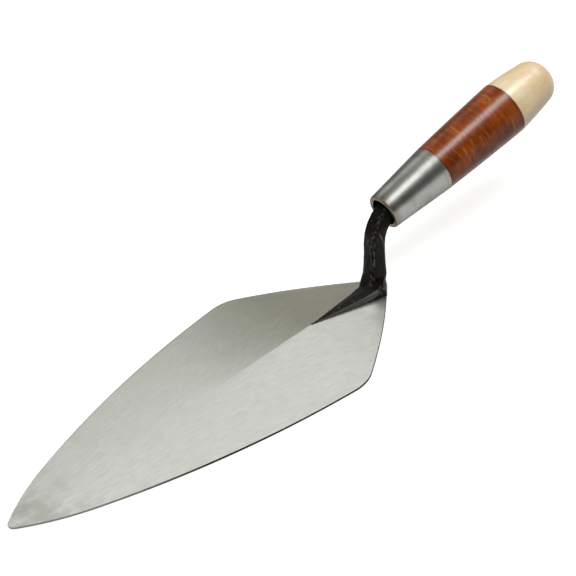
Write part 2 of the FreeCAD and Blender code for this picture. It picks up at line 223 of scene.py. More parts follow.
def make_streaks():
    group, given, result = new_group("streaks", [
        ("Place", "NodeSocketVector", None), ("Per Metre", "NodeSocketVector", (100.0, 100.0, 100.0)),
        ("Turn", "NodeSocketFloat", 0.0), ("Low", "NodeSocketFloat", 0.3), ("High", "NodeSocketFloat", 0.7),
    ], [("Value", "NodeSocketFloat")])
    turned = add(group, "ShaderNodeVectorRotate", {"Vector": given["Place"], "Angle": given["Turn"]},
                 rotation_type="Z_AXIS").outputs["Vector"]
    squeezed = vector_maths(group, "MULTIPLY", turned, given["Per Metre"])["Vector"]
    put_out_noise(group, given, result, squeezed, 1.0, 3.0, 0.6)
    return group


def make_clouds():
    group, given, result = new_group("clouds", [
        ("Place", "NodeSocketVector", None), ("Per Metre", "NodeSocketFloat", 40.0),
        ("Low", "NodeSocketFloat", 0.35), ("High", "NodeSocketFloat", 0.65),
    ], [("Value", "NodeSocketFloat")])
    put_out_noise(group, given, result, given["Place"], given["Per Metre"], 4.0, 0.55)
    return group


STREAKS, CLOUDS = make_streaks(), make_clouds()
print("groups:", [group.name for group in bpy.data.node_groups])

# %% [markdown]
# ## Placing the groups
# In a material, a group is one node with the group's inputs as its sockets. These functions place
# one with the material's own numbers: features per metre, a turn, and the range of the noise that
# becomes 0 to 1. A narrow range gives marks with hard edges, and a wide one gives soft marks.

# %% Use the groups
def use_group(tree, group, sockets):
    """Place a group in a material with its own values, and give its outputs."""
    return add(tree, "ShaderNodeGroup", sockets, node_tree=group).outputs


def streaks(tree, place, per_metre, turn=0.0, low=0.3, high=0.7):
    sockets = {"Place": place, "Per Metre": per_metre, "Turn": turn, "Low": low, "High": high}
    return use_group(tree, STREAKS, sockets)["Value"]


def clouds(tree, place, per_metre, low=0.35, high=0.65):
    sockets = {"Place": place, "Per Metre": per_metre, "Low": low, "High": high}
    return use_group(tree, CLOUDS, sockets)["Value"]


print("streaks take", [item.name for item in STREAKS.interface.items_tree if item.in_out == "INPUT"])

# %% [markdown]
# ## Places on the handle
# Leather, wood and the turned ferrule are patterned along and round the handle, which is tilted.
# Instead of a UV map, a third group turns the object's own coordinates into the handle's. It gives
# the straight vector, for grain that runs through the whole block of wood and so shows as dots on
# its end, and the station by itself. It also gives the station with a point of a unit circle in
# place of an angle, so that a pattern round the handle has no seam underneath.

# %% Handle coordinates
OFF_AXIS = (0.0, 1.0, 1.0)


def make_handle_places():
    group, given, result = new_group("handle_places", [("Place", "NodeSocketVector", None)], [
        ("Straight", "NodeSocketVector"), ("Station", "NodeSocketFloat"), ("Round", "NodeSocketVector")])
    level = add(group, "ShaderNodeVectorRotate", {"Vector": given["Place"], "Center": RIM, "Angle": LIFT},
                rotation_type="Y_AXIS").outputs["Vector"]
    straight = vector_maths(group, "SUBTRACT", level, RIM)["Vector"]
    station = split(group, straight)["X"]
    flat = vector_maths(group, "MULTIPLY", straight, OFF_AXIS)["Vector"]
    circle = split(group, vector_maths(group, "NORMALIZE", flat)["Vector"])
    ring = add(group, "ShaderNodeCombineXYZ", {"X": station, "Y": circle["Y"], "Z": circle["Z"]})
    group.links.new(straight, result.inputs["Straight"])
    group.links.new(station, result.inputs["Station"])
    group.links.new(ring.outputs["Vector"], result.inputs["Round"])
    return group


HANDLE_PLACES = make_handle_places()
print("handle group outputs:", [item.name for item in HANDLE_PLACES.interface.items_tree
                                if item.in_out == "OUTPUT"])

# %% [markdown]
# ## Ground steel of the blade
# The blade is ground on a belt. Near the heel the marks run square to the slanting heel edges, and
# towards the tip they run lengthwise. The coordinates are folded at the centre line so that both
# halves carry the same slant, and the left half is pushed away in Z so that it isn't a mirror
# image. A painted shade darkens the left half near the foot. A mirror shows what stands round it,
# so a painted highlight of brighter steel keeps the image of the black shank faint beside the
# foot. The bump is only thousandths of a millimetre deep.

# %% Blade material
HEEL_MARKS, BROAD_MARKS, TIP_MARKS = math.radians(-19.0), math.radians(-19.0) + 0.12, 0.05
BELT_STEEL, CLEAN_STEEL = (0.64, 0.65, 0.625, 1.0), (0.675, 0.68, 0.66, 1.0)
FINE_LINE, BROAD_LINE = (0.40, 0.40, 0.375, 1.0), (0.42, 0.42, 0.40, 1.0)
PAINTED_BRIGHT_STEEL, PAINTED_LEFT_SHADE = (0.97, 0.98, 0.96, 1.0), (0.545, 0.545, 0.487, 1.0)
DULL_TIP = (0.36, 0.36, 0.325, 1.0)
BESIDE_FOOT = Vector((-14.0, -20.0, 1.0)) * MM


def belt_marks(tree, parts, left):
    """Masks of the fine and of the broad grinding marks."""
    folded = add(tree, "ShaderNodeCombineXYZ", {"X": parts["X"], "Y": maths(tree, "ABSOLUTE", parts["Y"]),
                                                "Z": left}).outputs["Vector"]
    at_heel = streaks(tree, folded, (150.0, 1350.0, 1.0), HEEL_MARKS)
    at_tip = streaks(tree, folded, (130.0, 1350.0, 1.0), TIP_MARKS)
    towards_tip = ease(tree, parts["X"], -95.0 * MM, -190.0 * MM)
    fine = add(tree, "ShaderNodeMix", {0: towards_tip, 2: at_heel, 3: at_tip}).outputs[0]
    return fine, streaks(tree, folded, (60.0, 450.0, 1.0), BROAD_MARKS)


def make_ground_steel():
    material, tree, shader, place = new_material("ground_steel")
    parts = split(tree, place)
    left = ease(tree, parts["Y"], -0.3 * MM, 0.3 * MM)
    fine, broad = belt_marks(tree, parts, left)
    wear = clouds(tree, place, 28.0)
    steel = blend_colours(tree, wear, BELT_STEEL, CLEAN_STEEL)
    steel = tint(tree, steel, fine, 0.30, FINE_LINE)
    steel = tint(tree, steel, broad, 0.22, BROAD_LINE)
    # a painted highlight beside the foot lightens the steel where it mirrors the black shank
    from_spot = vector_maths(tree, "DISTANCE", place, BESIDE_FOOT)["Value"]
    spot = times(tree, ease(tree, from_spot, 17.0 * MM, 5.0 * MM, 0.0, 0.9),
                 maths(tree, "SUBTRACT", 1.0, left))
    steel = blend_colours(tree, spot, steel, PAINTED_BRIGHT_STEEL)
    # a painted shade on the left half near the foot, which dies out with the ridge
    shade = times(tree, left, ease(tree, parts["X"], -145.0 * MM, -50.0 * MM))
    steel = blend_colours(tree, shade, steel, PAINTED_LEFT_SHADE, "MULTIPLY")
    smudge = times(tree, clouds(tree, place, 70.0, 0.36, 0.62),
                   ease(tree, parts["X"], -212.0 * MM, -262.0 * MM))
    tree.links.new(tint(tree, steel, smudge, 0.72, DULL_TIP), shader.inputs["Base Color"])
    rough = maths(tree, "ADD", 0.31, times(tree, fine, 0.06))
    tree.links.new(maths(tree, "ADD", rough, times(tree, wear, 0.03)), shader.inputs["Roughness"])
    shader.inputs["Metallic"].default_value = 1.0
    tree.links.new(bump(tree, fine, 0.004 * MM), shader.inputs["Normal"])
    return material


ground_steel = make_ground_steel()
print(ground_steel.name, len(ground_steel.node_tree.nodes), "nodes")

# %% [markdown]
# ## Black scale of the forging
# Where the grinding belt doesn't reach, the steel keeps the black skin of the forge. It is nearly
# black, pitted by the hammer, and rubbed to grey in thin broken streaks that run with the metal:
# up the shank and along the foot. It is an oxide and not bare metal, so it is a plain dielectric
# with a low base colour. The way a face points and its place choose the rubbed edges, so no image
# texture is needed. The slanting right side of the foot is greyer, partly from the belt and
# partly as a painted sheen, and on the blade's rounded edge and sides this black is a painted
# shade that fades to grey towards the tip.

# %% Scale material
SCALE_BLACK, SCALE_WARM = (0.0022, 0.0020, 0.0017, 1.0), (0.0095, 0.0088, 0.0075, 1.0)
BELT_GREY_AND_SHEEN, RUBBED_GREY = (0.082, 0.081, 0.074, 1.0), (0.150, 0.143, 0.128, 1.0)
UNSHADED_SIDE_GREY = (0.33, 0.33, 0.31, 1.0)


def rubbed_places(tree, place, parts, facing, on_foot):
    """Where the black skin is rubbed through to grey, from 0 to 1."""
    runs = streaks(tree, place, (420.0, 420.0, 70.0), 0.3, 0.54, 0.66)
    patches = clouds(tree, place, 75.0, 0.45, 0.60)
    most = maths(tree, "SUBTRACT", 0.8, times(tree, on_foot, 0.5))
    rubbed_and_sheen = times(tree, times(tree, runs, patches), most)
    # the crease along the foot's right side
    crease = times(tree, ease(tree, facing["Z"], 0.50, 0.62), ease(tree, facing["Z"], 0.90, 0.78))
    crease = times(tree, times(tree, crease, on_foot), ease(tree, facing["Y"], -0.25, -0.45))
    rubbed_and_sheen = maths(tree, "MAXIMUM", rubbed_and_sheen, times(tree, crease, 0.45))
    # the shank's front right edge, in broken lines
    edge = times(tree, ease(tree, parts["Y"], -1.8 * MM, -4.2 * MM), ease(tree, facing["X"], -0.15, -0.5))
    edge = times(tree, edge, streaks(tree, place, (900.0, 900.0, 150.0), 0.0, 0.50, 0.62))
    return maths(tree, "MAXIMUM", rubbed_and_sheen, times(tree, edge, 0.7))


def make_black_scale():
    material, tree, shader, place = new_material("black_scale")
    parts = split(tree, place)
    facing = split(tree, tree.nodes.new("ShaderNodeNewGeometry").outputs["Normal"])
    on_foot = times(tree, ease(tree, parts["Z"], 7.5 * MM, 6.0 * MM),
                    ease(tree, parts["X"], -11.0 * MM, -15.0 * MM))
    tone = clouds(tree, place, 160.0)
    skin = blend_colours(tree, tone, SCALE_BLACK, SCALE_WARM)
    # the slanting right side of the foot is greyer: partly touched by the belt, partly a painted sheen
    slant = times(tree, ease(tree, facing["Y"], -0.30, -0.55), ease(tree, facing["Y"], -0.97, -0.85))
    skin = blend_colours(tree, times(tree, slant, on_foot), skin, BELT_GREY_AND_SHEEN)
    skin = blend_colours(tree, rubbed_places(tree, place, parts, facing, on_foot), skin, RUBBED_GREY)
    # the blade's rounded edge and sides take this black as a painted shade, fading to grey towards the tip
    side_shade_fades = ease(tree, parts["X"], -165.0 * MM, -240.0 * MM)
    tree.links.new(blend_colours(tree, side_shade_fades, skin, UNSHADED_SIDE_GREY), shader.inputs["Base Color"])
    soot = ease(tree, parts["Z"], 33.0 * MM, 40.0 * MM, 0.0, 0.35)
    rough = maths(tree, "ADD", ease(tree, tone, 0.0, 1.0, 0.34, 0.50), soot)
    tree.links.new(rough, shader.inputs["Roughness"])
    pits = clouds(tree, place, 330.0, 0.3, 0.7)
    dents = clouds(tree, place, 110.0, 0.3, 0.7)
    tree.links.new(bump(tree, pits, 0.03 * MM, bump(tree, dents, 0.16 * MM)), shader.inputs["Normal"])
    shader.inputs["Specular IOR Level"].default_value = 0.08
    return material


black_scale = make_black_scale()
print(black_scale.name, len(black_scale.node_tree.nodes), "nodes")

# %% [markdown]
# ## Satin ferrule
# The ferrule is a steel cap that is polished while it turns, so all its marks go round it. The
# streaks are therefore very fine along the handle and endless round it. A little brown tarnish
# collects by the two ends, and a painted highlight makes the inner edge of the mouth bright.

# %% Ferrule material
SATIN_LIGHT, SATIN_DARK = (0.325, 0.335, 0.320, 1.0), (0.275, 0.278, 0.262, 1.0)
BROAD_TURNING, TARNISH = (0.235, 0.225, 0.20, 1.0), (0.190, 0.155, 0.128, 1.0)
PAINTED_MOUTH_HIGHLIGHT, EDGE_SHEEN = (0.36, 0.325, 0.27, 1.0), (0.50, 0.48, 0.44, 1.0)


def tarnished_places(tree, place, station):
    """Where the ferrule has browned: by the leather, by the mouth and in thin stains."""
    by_leather = times(tree, ease(tree, station, FERRULE_END - 6.0 * MM, FERRULE_END, 0.0, 0.6),
                       clouds(tree, place, 130.0))
    stains = times(tree, clouds(tree, place, 90.0, 0.45, 0.7), 0.45)
    tarnish = maths(tree, "MAXIMUM", by_leather, stains)
    return maths(tree, "MAXIMUM", tarnish, ease(tree, station, 0.5 * MM, 6.5 * MM, 0.80, 0.0))


def make_satin_steel():
    material, tree, shader, place = new_material("satin_steel")
    handle = use_group(tree, HANDLE_PLACES, {"Place": place})
    station = handle["Station"]
    turned = streaks(tree, handle["Round"], (5200.0, 0.8, 0.8))
    wide = streaks(tree, handle["Round"], (700.0, 0.6, 0.6))
    steel = tint(tree, SATIN_LIGHT, turned, 0.30, SATIN_DARK)
    steel = tint(tree, steel, wide, 0.12, BROAD_TURNING)
    steel = blend_colours(tree, tarnished_places(tree, place, station), steel, TARNISH)
    # a painted highlight on the inner edge of the mouth
    off_axis = vector_maths(tree, "MULTIPLY", handle["Straight"], OFF_AXIS)["Vector"]
    radius = vector_maths(tree, "LENGTH", off_axis)["Value"]
    rubbed_and_sheen = times(tree, ease(tree, radius, 9.6 * MM, 9.1 * MM), ease(tree, station, 1.4 * MM, 0.9 * MM))
    tree.links.new(blend_colours(tree, rubbed_and_sheen, steel, PAINTED_MOUTH_HIGHLIGHT), shader.inputs["Base Color"])
    tree.links.new(maths(tree, "ADD", 0.31, times(tree, turned, 0.07)), shader.inputs["Roughness"])
    tree.links.new(bump(tree, turned, 0.002 * MM), shader.inputs["Normal"])
    shader.inputs["Metallic"].default_value = 1.0
    shader.inputs["Specular Tint"].default_value = EDGE_SHEEN
    return material


satin_steel = make_satin_steel()
print(satin_steel.name, len(satin_steel.node_tree.nodes), "nodes")

# %% [markdown]
# ## Stacked leather
# Each washer is a slice of hide seen edge on, and no two slices took the same colour. The number
# of the washer, which is the station divided by its thickness and rounded down, feeds a White
# Noise node and gives each its own tone. Fibres run round the grip, so streaks are long that way.
# Darker blotches show where the hide drank more oil, and short golden threads where it was
# shaved. Both ends of the stack are darkened with a painted shade where they meet the steel and
# the wood, and lacquer over the top is a clear coat.

# %% Leather material
RUSSET_DARK, RUSSET_LIGHT = (0.086, 0.0128, 0.0003, 1.0), (0.106, 0.0172, 0.0005, 1.0)
TAN_BAND, FIBRE = (0.155, 0.036, 0.0016, 1.0), (0.058, 0.0095, 0.0008, 1.0)
OILED, GOLDEN_THREAD = (0.032, 0.0050, 0.0004, 1.0), (0.26, 0.100, 0.020, 1.0)
PAINTED_END_SHADE, JOINT_DIRT = (0.040, 0.010, 0.003, 1.0), (0.06, 0.013, 0.004, 1.0)


def shaded_ends(tree, station):
    """Painted shade at the two ends of the stack, against the wood and against the steel."""
    by_wood = ease(tree, station, LEATHER_END - 1.6 * MM, LEATHER_END - 0.2 * MM)
    by_steel = ease(tree, station, FERRULE_END + 1.2 * MM, FERRULE_END + 0.2 * MM)
    return maths(tree, "MAXIMUM", by_wood, by_steel)


def joint_lines(tree, slices):
    """Thin lines where one washer meets the next."""
    within = maths(tree, "FRACT", slices)
    from_joint = maths(tree, "MINIMUM", within, maths(tree, "SUBTRACT", 1.0, within))
    return ease(tree, from_joint, 0.0, 0.09, 1.0, 0.0)


def make_russet_leather():
    material, tree, shader, place = new_material("russet_leather")
    handle = use_group(tree, HANDLE_PLACES, {"Place": place})
    station, around = handle["Station"], handle["Round"]
    slices = maths(tree, "DIVIDE", maths(tree, "SUBTRACT", station, FERRULE_END), WASHER)
    number = maths(tree, "ADD", maths(tree, "FLOOR", slices), 7.0)
    own_tone = add(tree, "ShaderNodeTexWhiteNoise", {"W": number}, noise_dimensions="1D").outputs["Value"]
    fibres = streaks(tree, around, (1500.0, 4.0, 4.0))
    bands = streaks(tree, around, (330.0, 0.9, 0.9), 0.0, 0.38, 0.62)
    blotches = streaks(tree, around, (60.0, 1.3, 1.3), 0.0, 0.40, 0.66)
    threads = streaks(tree, around, (460.0, 1.5, 1.5), 0.0, 0.56, 0.72)
    hide = blend_colours(tree, own_tone, RUSSET_DARK, RUSSET_LIGHT)
    hide = tint(tree, hide, bands, 0.60, TAN_BAND)
    hide = tint(tree, hide, fibres, 0.20, FIBRE)
    hide = tint(tree, hide, blotches, 0.65, OILED)
    hide = tint(tree, hide, threads, 0.42, GOLDEN_THREAD)
    # painted shade at both ends of the stack
    hide = tint(tree, hide, shaded_ends(tree, station), 0.60, PAINTED_END_SHADE)
    hide = tint(tree, hide, joint_lines(tree, slices), 0.22, JOINT_DIRT)
    tree.links.new(hide, shader.inputs["Base Color"])
    tree.links.new(ease(tree, blotches, 0.0, 1.0, 0.36, 0.28), shader.inputs["Roughness"])
    pores = bump(tree, clouds(tree, place, 260.0), 0.03 * MM)
    tree.links.new(bump(tree, fibres, 0.012 * MM, pores), shader.inputs["Normal"])
    shader.inputs["Coat Weight"].default_value = 0.30
    shader.inputs["Coat Roughness"].default_value = 0.26
    shader.inputs["Specular IOR Level"].default_value = 0.06
    return material


russet_leather = make_russet_leather()
print(russet_leather.name, len(russet_leather.node_tree.nodes), "nodes")

# %% [markdown]
# ## Pale hardwood
# The butt is turned from close-grained pale wood. The grain is a solid pattern in the handle's
# straight coordinates, very long along the handle and fine across, so the dome cuts through it
# and shows end grain by itself. Short darker flecks are the pores, and the lacquer is thin.

# %% Wood material
WOOD_TAN, WOOD_CREAM = (0.346, 0.272, 0.164, 1.0), (0.380, 0.316, 0.216, 1.0)
GRAIN_LINE, FINE_GRAIN = (0.292, 0.210, 0.106, 1.0), (0.272, 0.186, 0.093, 1.0)
PORE = (0.222, 0.142, 0.068, 1.0)


def make_pale_wood():
    material, tree, shader, place = new_material("pale_wood")
    straight = use_group(tree, HANDLE_PLACES, {"Place": place})["Straight"]
    grain = streaks(tree, straight, (22.0, 420.0, 420.0))
    fine = streaks(tree, straight, (60.0, 1900.0, 1900.0))
    pores = streaks(tree, straight, (300.0, 1500.0, 1500.0), 0.0, 0.60, 0.70)
    wood = blend_colours(tree, clouds(tree, straight, 60.0), WOOD_TAN, WOOD_CREAM)
    wood = tint(tree, wood, grain, 0.45, GRAIN_LINE)
    wood = tint(tree, wood, fine, 0.28, FINE_GRAIN)
    tree.links.new(tint(tree, wood, pores, 0.55, PORE), shader.inputs["Base Color"])
    tree.links.new(ease(tree, fine, 0.0, 1.0, 0.36, 0.44), shader.inputs["Roughness"])
    tree.links.new(bump(tree, fine, 0.008 * MM), shader.inputs["Normal"])
    shader.inputs["Coat Weight"].default_value = 0.22
    shader.inputs["Coat Roughness"].default_value = 0.25
    return material


pale_wood = make_pale_wood()
print(pale_wood.name, len(pale_wood.node_tree.nodes), "nodes")

# %% [markdown]
# ## From a bmesh to a piece
# All pieces end the same way: the shape becomes a mesh, it is shaded smooth with sharp edges left
# where two faces meet steeply, it gets its materials, it rides on the root body, and the frame's
# node that it replaces is hidden.

# %% Finish a piece
SHARP = math.radians(34.0)


def finish_piece(shape, name, node, materials, sharp=SHARP):
    """Put the shape in the scene under a name with its materials, and hide the frame's node that it
    replaces.
    """
    mesh = bpy.data.meshes.new(name)
    shape.to_mesh(mesh)
    shape.free()
    mesh.shade_smooth()
    mesh.set_sharp_from_angle(angle=sharp)
    for material in materials:
        mesh.materials.append(material)
    piece = bpy.data.objects.new(name, mesh)
    bpy.context.scene.collection.objects.link(piece)
    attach(piece, "root")
    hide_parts(node)
    return piece


def count(piece):
    """A short line about a finished piece."""
    places = [vert.co for vert in piece.data.vertices]
    spans = [max(co[axis] for co in places) - min(co[axis] for co in places) for axis in range(3)]
    return f"{piece.name}: {len(piece.data.polygons)} faces, {[round(span / MM, 1) for span in spans]} mm"


print("sharp above", round(math.degrees(SHARP)), "degrees")

# %% [markdown]
# ## Blade outline
# Half of the outline is six arcs that run into each other without a corner: a small nose under the
# foot, the long heel edge, the wide corner, two side arcs and the tip. Each arc is a radius and
# the headings at its ends. Three radii are chosen, and the other three follow from the blade's
# width and length, which are read from the frame.

# %% Outline arcs
blade_low, blade_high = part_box("blade_and_tang")
LENGTH, HALF_WIDTH = -blade_low.x, blade_high.y
NOSE, CORNER, TIP = 5.7 * MM, 21.0 * MM, 5.0 * MM
LEAVE, REACH = math.radians(50.3), math.radians(38.5)
# headings of the side where it leaves the corner, at its middle and where it reaches the tip, as
# shares of the heading of a straight line from the widest place to the tip
SIDE_SHARES = (-0.32, -1.23, -2.04)
NOSE_STEPS, HEEL_STEPS, CORNER_STEPS = 8, 60, 22
SIDE_STEPS, FORE_STEPS, TIP_STEPS = 70, 60, 14


def outline_arcs():
    """(radius, heading at its start, heading at its end, number of steps) from heel to tip."""
    spread = HALF_WIDTH - NOSE * math.cos(LEAVE) - CORNER * (1 - math.cos(REACH))
    heel = spread / (math.cos(REACH) - math.cos(LEAVE))
    widest = (NOSE * (math.sin(LEAVE) - 1) + heel * (math.sin(REACH) - math.sin(LEAVE))
              - CORNER * math.sin(REACH))
    straight = math.atan2(HALF_WIDTH, LENGTH + widest)
    enter, middle, final = (share * straight for share in SIDE_SHARES)
    # the two side arcs have to span what the corner and the tip leave, along and across
    along = -LENGTH - widest - CORNER * math.sin(enter) + TIP * (1 + math.sin(final))
    across = -HALF_WIDTH - CORNER * (math.cos(enter) - 1) + TIP * math.cos(final)
    side_along, fore_along = math.sin(middle) - math.sin(enter), math.sin(final) - math.sin(middle)
    side_across, fore_across = math.cos(middle) - math.cos(enter), math.cos(final) - math.cos(middle)
    shared = side_along * fore_across - fore_along * side_across
    side = (along * fore_across - fore_along * across) / shared
    fore = (side_along * across - along * side_across) / shared
    return [(NOSE, math.pi / 2, LEAVE, NOSE_STEPS), (heel, LEAVE, REACH, HEEL_STEPS),
            (CORNER, REACH, enter, CORNER_STEPS), (side, enter, middle, SIDE_STEPS),
            (fore, middle, final, FORE_STEPS), (TIP, final, -math.pi / 2, TIP_STEPS)]


def outline_points():
    """(x, half width, outward direction) at every step from the heel end to the tip."""
    x, y = 0.0, 0.0
    points = [(x, y, Vector((1.0, 0.0, 0.0)))]
    for radius, start, end, steps in outline_arcs():
        for step in range(steps):
            now, following = (start + (end - start) * (step + ahead) / steps for ahead in (0, 1))
            x += radius * (math.sin(following) - math.sin(now))
            y += radius * (math.cos(following) - math.cos(now))
            points.append((x, y, Vector((math.sin(following), math.cos(following), 0.0))))
    return points


OUTLINE = outline_points()
print("outline: radii", [round(radius / MM, 1) for radius, *_ in outline_arcs()], "ends at",
      [round(c / MM, 2) for c in OUTLINE[-1][:2]], "widest",
      round(max(point[1] for point in OUTLINE) / MM, 2))

# %% [markdown]
# ## Height of the blade's top
# The blade is three millimetres thick where the foot begins and about one at its edges. Both
# halves are ground as planes that meet in a ridge, but the grinder lets the ridge fade: it is
# crisp at the foot and gone two thirds of the way to the tip. Using a square root in place of the
# plain distance from the centre line does that, with a rounding that grows along the blade. The
# heel edges get a slope of their own, joined to the planes by a smooth minimum.

# %% Top height
THICK, EDGE, HEEL_EDGE = 3.0 * MM, 1.1 * MM, 0.75 * MM
WIDEST_X = max(OUTLINE, key=lambda point: point[1])[0]
TIP_GRIND_START = -60.0 * MM
HEEL_GRIND, HEEL_BLEND = 43.0 * MM, 0.5 * MM
THIN_UP_TO, FULL_FROM = 8.0 * MM, 64.0 * MM
RIDGE_CRISP, RIDGE_GONE = -62.0 * MM, -185.0 * MM
RIDGE_ROUND, RIDGE_GROWTH = 0.25, 34.0
HEEL_NORMAL = Vector((math.sin((LEAVE + REACH) / 2), math.cos((LEAVE + REACH) / 2)))
HEEL_POINT = Vector(OUTLINE[NOSE_STEPS][:2])


def smooth_step(value, low, high):
    share = min(max((value - low) / (high - low), 0.0), 1.0)
    return share * share * (3 - 2 * share)


def smooth_min(first, second, rounding):
    share = max(rounding - abs(first - second), 0.0) / rounding
    return min(first, second) - share * share * rounding / 4


def edge_height(y):
    """The heel edge is thinnest beside the foot and reaches its full height by the corner."""
    return EDGE - (EDGE - HEEL_EDGE) * (1 - smooth_step(abs(y), THIN_UP_TO, FULL_FROM))


def top_height(x, y):
    """Height of the blade's top over its flat underside."""
    fall = min(max((TIP_GRIND_START - x) / (LENGTH + TIP_GRIND_START), 0.0), 1.0)
    centre = THICK - (THICK - EDGE) * fall
    rounding = (RIDGE_ROUND + RIDGE_GROWTH * smooth_step(x, RIDGE_CRISP, RIDGE_GONE)) * MM
    off_centre = math.sqrt(y * y + rounding * rounding) - rounding
    side = centre - (THICK - EDGE) * off_centre / HALF_WIDTH
    from_heel = (HEEL_POINT - Vector((x, abs(y)))).dot(HEEL_NORMAL)
    edge = edge_height(y) if x > WIDEST_X else EDGE
    heel = edge + (THICK - edge) * from_heel / HEEL_GRIND
    return max(smooth_min(side, heel, HEEL_BLEND), edge)


for x, y in ((-60, 0), (-77, 60), (-150, 0), (-150, 30), (-260, 0)):
    print("top at", (x, y), "is", round(top_height(x * MM, y * MM) / MM, 2))

# %% [markdown]
# ## Top of the blade
# A flat grid is bent to the outline: its rows follow the steps of the arcs, and its columns share
# the width between them, so one column lies on the ridge. The grid stops a little inside the
# outline, to leave room for a rounded edge. Each vertex carries the outline's outward direction in
# a layer of its own, for the next step.

# %% Blade top
COLUMNS = 72
RIM_INSET = 0.20 * MM
# a hand-forged heel is never quite central: it drifts to the right and is true again here
HEEL_DRIFT, DRIFT_END = -0.6 * MM, -60.0 * MM
SAME_PLACE = 0.002 * MM


def bend_grid(shape, outward):
    """Bend a flat grid to the outline and lift it to the blade's top."""
    rows = len(OUTLINE) - 1
    bmesh.ops.create_grid(shape, x_segments=rows, y_segments=COLUMNS, size=1.0)
    for vert in shape.verts:
        x, half, out = OUTLINE[round((vert.co.x + 1) / 2 * rows)]
        share = vert.co.y
        side = 1.0 if share >= 0 else -1.0
        place = Vector((x, half, 0.0)) - out * RIM_INSET
        vert.co = (place.x, place.y * share, 0.0)
        vert.co.z = top_height(vert.co.x, vert.co.y)
        vert.co.y += HEEL_DRIFT * (1 - smooth_step(-vert.co.x, 0.0, -DRIFT_END))
        vert[outward] = Vector((out.x, out.y * side, 0.0))
    bmesh.ops.remove_doubles(shape, verts=shape.verts[:], dist=SAME_PLACE)


blade = bmesh.new()
outward_layer = blade.verts.layers.float_vector.new("outward")
bend_grid(blade, outward_layer)
print("blade's top:", len(blade.faces), "faces")

# %% [markdown]
# ## Edge and underside of the blade
# A trowel's edge is broken with a stone, so that it doesn't cut the hand. From the top's rim,
# three narrow strips are extruded outwards and down for that rounded edge, then the upright side
# and a small round below it, and one face closes the underside. An extruded vertex inherits the
# outward direction of the one that it came from.

# %% Blade edge
# each strip of the rounded edge: how far out it goes and how far down, in millimetres
EDGE_STRIPS = [(0.10, 0.02), (0.06, 0.04), (0.04, 0.08)]
BOTTOM_ROUND = 0.10 * MM
GROUND_FACE, SCALE_FACE = 0, 1


def extrude_rim(shape, rim, outward, spread, drop=0.0, level=None):
    """Extrude the open rim outwards by spread and down by drop, or to one level; give the new rim."""
    made = bmesh.ops.extrude_edge_only(shape, edges=rim)["geom"]
    for vert in (item for item in made if isinstance(item, bmesh.types.BMVert)):
        vert.co += vert[outward] * spread
        vert.co.z = vert.co.z - drop if level is None else level
    return [item for item in made if isinstance(item, bmesh.types.BMEdge) and item.is_boundary]


def close_blade(shape, outward):
    top_faces = set(shape.faces)
    rim = [edge for edge in shape.edges if edge.is_boundary]
    for out_step, drop in EDGE_STRIPS:
        rim = extrude_rim(shape, rim, outward, out_step * MM, drop=drop * MM)
    rim = extrude_rim(shape, rim, outward, 0.0, level=BOTTOM_ROUND)
    rim = extrude_rim(shape, rim, outward, -BOTTOM_ROUND, level=0.0)
    # the rounded edge and the upright sides get the black scale as a painted shade
    for face in set(shape.faces) - top_faces:
        face.material_index = SCALE_FACE
    for face in bmesh.ops.contextual_create(shape, geom=rim)["faces"]:
        face.material_index = GROUND_FACE
    bmesh.ops.recalc_face_normals(shape, faces=shape.faces[:])


close_blade(blade, outward_layer)
print("blade:", len(blade.faces), "faces, open edges", sum(edge.is_boundary for edge in blade.edges))

# %% [markdown]
# ## Foot
# The foot is the tongue that the smith draws out of the bar under the shank. It is blunt at the
# heel, comes to a point on the ridge, and is fuller on its right side, as hammer work is. A loft
# suits it: four sections of six corners each, up the right wall, over a bevel, across the top and
# down the lower left side. Each is a loop of edges, and Bridge Edge Loops joins one to the next.

# %% Foot
# along the blade, then (across, height) from the right base round to the left base, millimetres
FOOT_SECTIONS = [
    (-57.0, [(-0.6, 0.6), (-0.6, 2.4), (-0.4, 2.85), (-0.1, 2.95), (0.3, 2.8), (0.4, 0.6)]),
    (-23.0, [(-10.4, 0.4), (-10.4, 1.3), (-8.8, 4.6), (-2.0, 4.4), (3.2, 3.2), (5.4, 0.5)]),
    (-9.3, [(-14.2, 0.2), (-14.2, 4.3), (-12.0, 6.7), (-4.0, 5.6), (5.0, 4.0), (9.2, 0.4)]),
    (-1.7, [(-5.2, 0.2), (-5.2, 4.8), (-4.7, 7.0), (-2.0, 8.0), (3.2, 6.0), (3.9, 0.4)]),
]


def ring_of(shape, verts):
    """Edges that join the vertices into a closed loop."""
    return [shape.edges.new(pair) for pair in zip(verts, verts[1:] + verts[:1])]


def bridge_rings(shape, rings):
    """Join closed loops of edges one after another and close both ends with a face."""
    for ring in (rings[0], rings[-1]):
        bmesh.ops.contextual_create(shape, geom=ring)
    for ring, following in zip(rings, rings[1:]):
        bmesh.ops.bridge_loops(shape, edges=ring + following)


def add_foot(shape):
    rings = []
    for along, corners in FOOT_SECTIONS:
        verts = [shape.verts.new(Vector((along, across, up)) * MM) for across, up in corners]
        rings.append(ring_of(shape, verts))
    bridge_rings(shape, rings)


forging_core = bmesh.new()
add_foot(forging_core)
print("foot:", len(FOOT_SECTIONS), "sections,", len(forging_core.faces), "faces")

# %% [markdown]
# ## Line of the shank
# The shank leans forward out of the foot and bends into the handle. Two straight lines and one
# tangent arc describe it: where the two lines meet and the bend's radius fix both ends of the arc.

# %% Shank line
SHANK_FOOT = Vector((-7.2, 0.0, 0.0)) * MM
SHANK_LEAN, UPRIGHT = math.radians(75.0), math.radians(90.0)
BEND_RADIUS = 22.5 * MM


